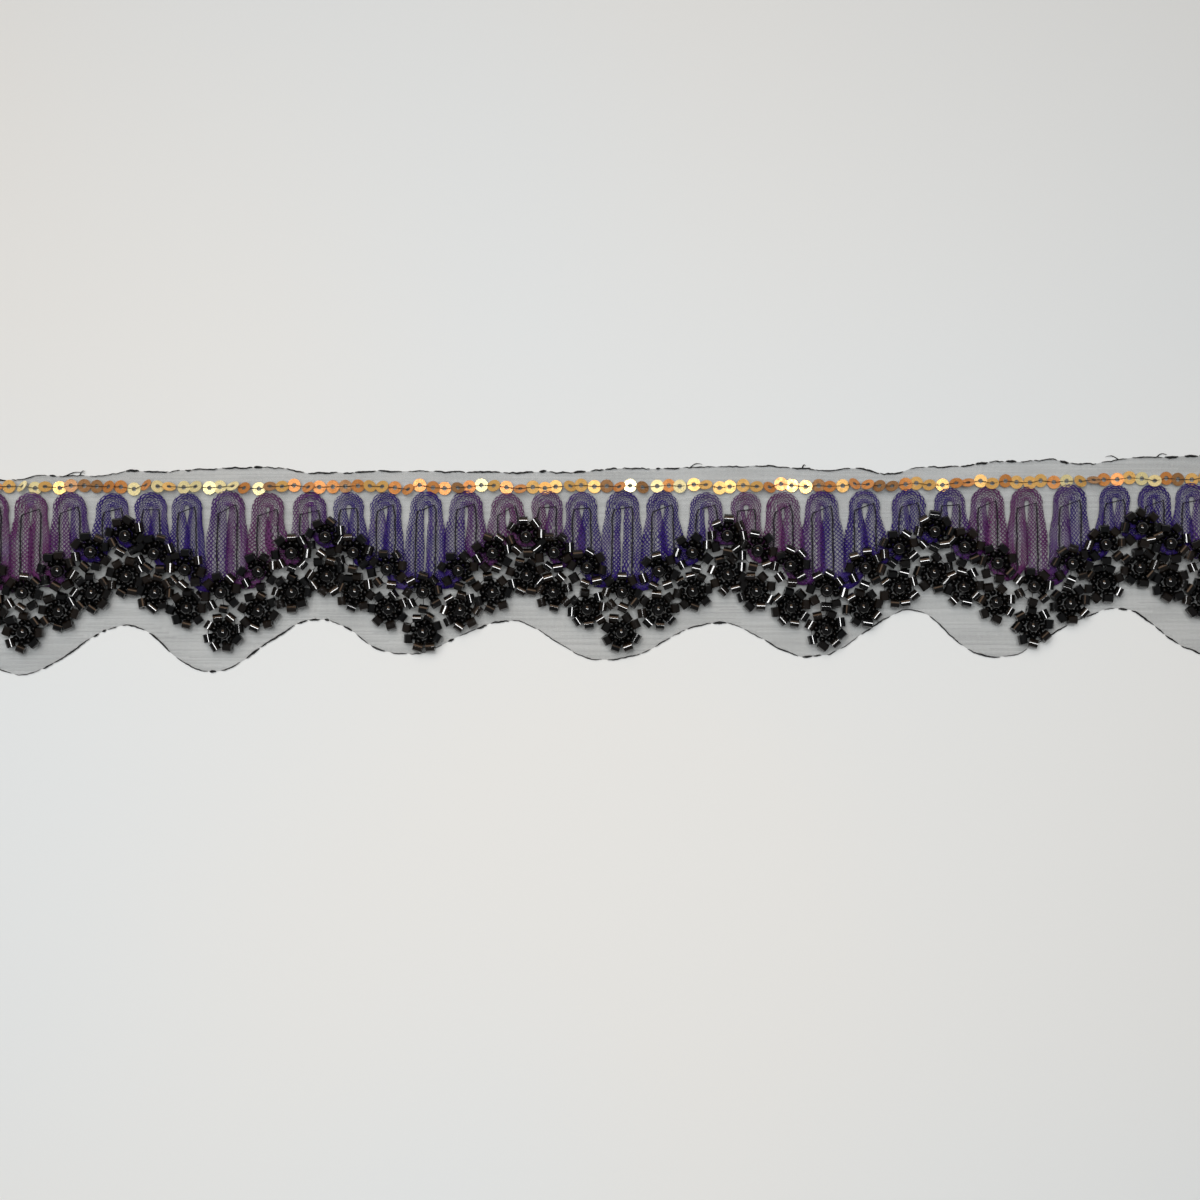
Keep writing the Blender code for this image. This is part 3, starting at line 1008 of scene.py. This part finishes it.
def buildSequins(rows):
    return grow("sequins", pointsOfRows(rows), ringTree, {
        "Radius": sequin["radius"],
        "Hole": sequin["hole"],
        "Thickness": sequin["thickness"],
        "Sides": sequin["sides"],
        "Material": sequinMaterial(),
    }, sharpAngle=math.radians(35))


def buildSequinThread(rows):
    # up through each hole and over the rims to the next
    points = []
    for row, following in zip(rows, rows[1:]):
        x, y, z = row["at"]
        nextX, nextY, nextZ = following["at"]
        points.append((x - 0.15 * mm, y, z + 0.12 * mm))
        points.append((x + 0.2 * mm, y - 0.05 * mm, z + 0.2 * mm))
        points.append(((x + nextX) / 2, (y + nextY) / 2, max(z, nextZ) + 0.26 * mm))
        points.append((nextX - 0.3 * mm, nextY, nextZ - 0.05 * mm))
    thicks = [sequin["threadRadius"]] * len(points)
    return spin("sequinThread", [points], thicks, 0.2, 0.6 * mm, 8.0, blackThread)


sequinRows = layOutSequins()
sequins = buildSequins(sequinRows)
sequinThread = buildSequinThread(sequinRows)


# The bead flowers: a pearl in a ring of cut beads, with small beads in between

flower = {
    "pearlRadius": 1.68 * mm,
    "ringRadius": 3.95 * mm,
    "cutRadius": 1.13 * mm,
    "cutHole": 0.42 * mm,
    "cutLength": 2.2 * mm,
    "cutSides": 12,
    "ringWander": (-0.2, 0.25),  # mm
    "eightShare": 0.85,  # of the flowers have eight cut beads, the others seven
    "seedRadius": 0.9 * mm,
    "seedRing": 2.5 * mm,
    "seedHeight": 0.55 * mm,
    "seedCount": 9,
    "openSide": (170, 310),  # degrees; the tape shows through here in an upper flower
    "lowerBase": 1.2 * mm,
    "upperBase": 2.35 * mm,
    "spacing": 2.10 * mm,  # the least distance between two cut beads' middles
    "keepOffPearl": 2.75 * mm,
    "settleSteps": 60,
    "blackGlass": (0.0008, 0.0008, 0.0008),
    "brownCast": (0.008, 0.005, 0.003),
    "seed": 41,
    "threadRadius": 0.09 * mm,
}


def flowersInOrder():
    # lower flowers first, because the upper ones lie on the tape
    rows = [(f, flower["lowerBase"], False) for f in lowerFlowers]
    return rows + [(f, flower["upperBase"], True) for f in upperFlowers]


def pushApart(places, others, least, share, itself):
    # crowded places move away from others; itself is 1 where both are the same bead
    gaps = places[:, None] - others[None]
    far = np.hypot(gaps[..., 0], gaps[..., 1]) + itself
    push = np.clip(least - far, 0, None) * (1 - itself)
    return places + share * (gaps / far[..., None] * push[..., None]).sum(1)


def layOutCutBeads():
    chance = random.Random(flower["seed"])
    places, owners = [], []
    for owner, (centre, base, isUpper) in enumerate(flowerRows):
        count = 8 if chance.random() < flower["eightShare"] else 7
        start = chance.uniform(0, 2 * math.pi)
        for k in range(count):
            angle = start + 2 * math.pi * k / count + chance.uniform(-0.08, 0.08)
            reach = flower["ringRadius"] + chance.uniform(*flower["ringWander"]) * mm
            places.append((centre.x + reach * math.cos(angle), centre.y + reach * math.sin(angle)))
            owners.append(owner)
    places = np.array(places)
    homes = places.copy()
    same = np.eye(len(places))
    pearls = np.array([tuple(row[0]) for row in flowerRows])
    for step in range(flower["settleSteps"]):
        places = pushApart(places, places, flower["spacing"], 0.35, same)
        places = pushApart(places, pearls, flower["keepOffPearl"], 0.6, 0)
        places = places + 0.05 * (homes - places)
    rows = []
    for (x, y), owner in zip(places, owners):
        centre, base, isUpper = flowerRows[owner]
        heading = math.atan2(y - centre.y, x - centre.x) + math.pi / 2
        heading += chance.gauss(0, 0.12)
        tilt = math.pi / 2 + chance.gauss(0, 0.10)
        rows.append({
            "at": (x, y, base + flower["cutRadius"] + chance.uniform(-0.05, 0.2) * mm),
            "turn": (chance.uniform(0, 0.5), tilt, heading),
            "size": chance.uniform(0.94, 1.06),
            "tone": chance.random() ** 2,
            "owner": owner,
        })
    return rows


def glassMaterial(name, roughness, ior):
    # opaque black glass with a bright polish, a few beads with a brown cast
    material, tree, shader = startMaterial(name, roughness, specular=0.5)
    shader.inputs["IOR"].default_value = ior
    tone = attributeOf(tree, "tone")
    glass = mixColour(tree, tone, flower["blackGlass"], flower["brownCast"])
    tree.links.new(glass, shader.inputs["Base Color"])
    smear = noiseAt(tree, objectPlace(tree), 700.0, 2.0)
    smear = spread(tree, smear, 0.3, 0.7, 0.6 * roughness, 1.6 * roughness)
    tree.links.new(smear, shader.inputs["Roughness"])
    return material


def buildPearls(material):
    chance = random.Random(flower["seed"] + 1)
    rows = []
    for centre, base, isUpper in flowerRows:
        z = base + flower["pearlRadius"]
        turn = (chance.uniform(0, 3), chance.uniform(0, 3), 0.0)
        rows.append({"at": (centre.x, centre.y, z), "turn": turn, "size": 1.0, "tone": 0.1})
    return grow("pearls", pointsOfRows(rows), ballTree, {
        "Radius": flower["pearlRadius"],
        "Segments": 24,
        "Rings": 14,
        "Material": material,
    })


def buildSeedBeads(material):
    chance = random.Random(flower["seed"] + 2)
    count = flower["seedCount"]
    openFrom, openTo = (math.radians(side) for side in flower["openSide"])
    rows = []
    for centre, base, isUpper in flowerRows:
        start = chance.uniform(0, 2 * math.pi)
        for k in range(count):
            angle = (start + 2 * math.pi * k / count) % (2 * math.pi)
            if isUpper and openFrom < angle < openTo:
                continue
            reach = flower["seedRing"] + chance.uniform(-0.12, 0.12) * mm
            at = (centre.x + reach * math.cos(angle), centre.y + reach * math.sin(angle),
                  base + flower["seedHeight"] + chance.uniform(-0.1, 0.15) * mm)
            turn = (chance.uniform(0, 3), chance.uniform(0, 3), 0.0)
            rows.append({"at": at, "turn": turn, "size": chance.uniform(0.9, 1.1), "tone": 0.0})
    return grow("seedBeads", pointsOfRows(rows), ballTree, {
        "Radius": flower["seedRadius"],
        "Segments": 10,
        "Rings": 6,
        "Material": material,
    })


def buildBeadThread(rows):
    # one ring of thread through the cut beads of each flower, and a stitch in to its pearl
    lines = []
    for owner, (centre, base, isUpper) in enumerate(flowerRows):
        ring = [Vector(row["at"]) for row in rows if row["owner"] == owner]
        middle = Vector((centre.x, centre.y, base + 0.6 * mm))
        ring.append(ring[0])
        lines.append([tuple(p) for p in ring])
        for bead in ring[:-1]:
            low = bead - Vector((0, 0, 0.7 * mm))
            lines.append([tuple(middle), tuple((middle + low) / 2), tuple(low)])
    thicks = [flower["threadRadius"]] * sum(len(line) for line in lines)
    return spin("beadThread", lines, thicks, 0.2, 0.6 * mm, 14.0, blackThread, sides=4)


flowerRows = flowersInOrder()
cutRows = layOutCutBeads()
cutGlass = glassMaterial("cutGlass", 0.06, 1.95)
cutBeads = grow("cutBeads", pointsOfRows(cutRows), ringTree, {
    "Radius": flower["cutRadius"],
    "Hole": flower["cutHole"],
    "Thickness": flower["cutLength"],
    "Sides": flower["cutSides"],
    "Material": cutGlass,
}, sharpAngle=math.radians(38))
pearls = buildPearls(glassMaterial("blackPearl", 0.05, 1.9))
seedBeads = buildSeedBeads(glassMaterial("seedGlass", 0.22, 1.35))
beadThread = buildBeadThread(cutRows)
print("flowers made:", len(cutRows), "cut beads")


# The table

table = {
    "size": 3.0,
    "cool": (0.680, 0.705, 0.710),
    "warm": (0.705, 0.705, 0.685),
    "paintedLightReach": 0.16,  # painted light: the paper is painted lighter on the near side and darker on the far side, over this distance, for how the light falls across the table
    "paintedLightRange": (1.09, 0.80),
}


def buildTable():
    half = table["size"] / 2
    mesh = bpy.data.meshes.new("table")
    corners = [(-half, -half, 0), (half, -half, 0), (half, half, 0), (-half, half, 0)]
    mesh.from_pydata(corners, [], [(0, 1, 2, 3)])
    material, tree, shader = startMaterial("palePaper", roughness=0.7, specular=0.3)
    patch = noiseAt(tree, objectPlace(tree), 5.0, 1.0)
    paper = mixColour(tree, spread(tree, patch, 0.35, 0.65), table["cool"], table["warm"])
    # painted light: the paper's colour is scaled brighter towards -Y and darker towards +Y, a
    # painted brightness gradient standing in for uneven light
    reach = table["paintedLightReach"]
    tone = spread(tree, placeAxes(tree)["Y"], -reach, reach, *table["paintedLightRange"])
    paperWithPaintedLight = addNode(tree, "ShaderNodeVectorMath", operation="SCALE")
    tree.links.new(paper, paperWithPaintedLight.inputs[0])
    tree.links.new(tone, paperWithPaintedLight.inputs["Scale"])
    tree.links.new(paperWithPaintedLight.outputs["Vector"], shader.inputs["Base Color"])
    grain = noiseAt(tree, objectPlace(tree), 1800.0, 3.0)
    addBump(tree, shader, grain, 0.05, 0.05 * mm)
    mesh.materials.append(material)
    linkPiece("table", mesh)


buildTable()


# Riding and replacing

def dress(piece, slot, *nodes):
    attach(piece, "root")
    if nodes:
        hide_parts(*nodes)


dress(sheerStrip, "sheer_cloth", "sheer_cloth")
dress(frayedEdge, "sheer_cloth")
dress(netTape, "mesh_ribbon", "mesh_ribbon")
dress(gatherThread, "black_bead")
dress(sequins, "gold_sequin", "sequin_chain")
dress(sequinThread, "black_bead")
dress(cutBeads, "black_bead", *flowerNodes)
dress(pearls, "black_bead", *flowerNodes)
dress(seedBeads, "black_bead", *flowerNodes)
dress(beadThread, "black_bead")
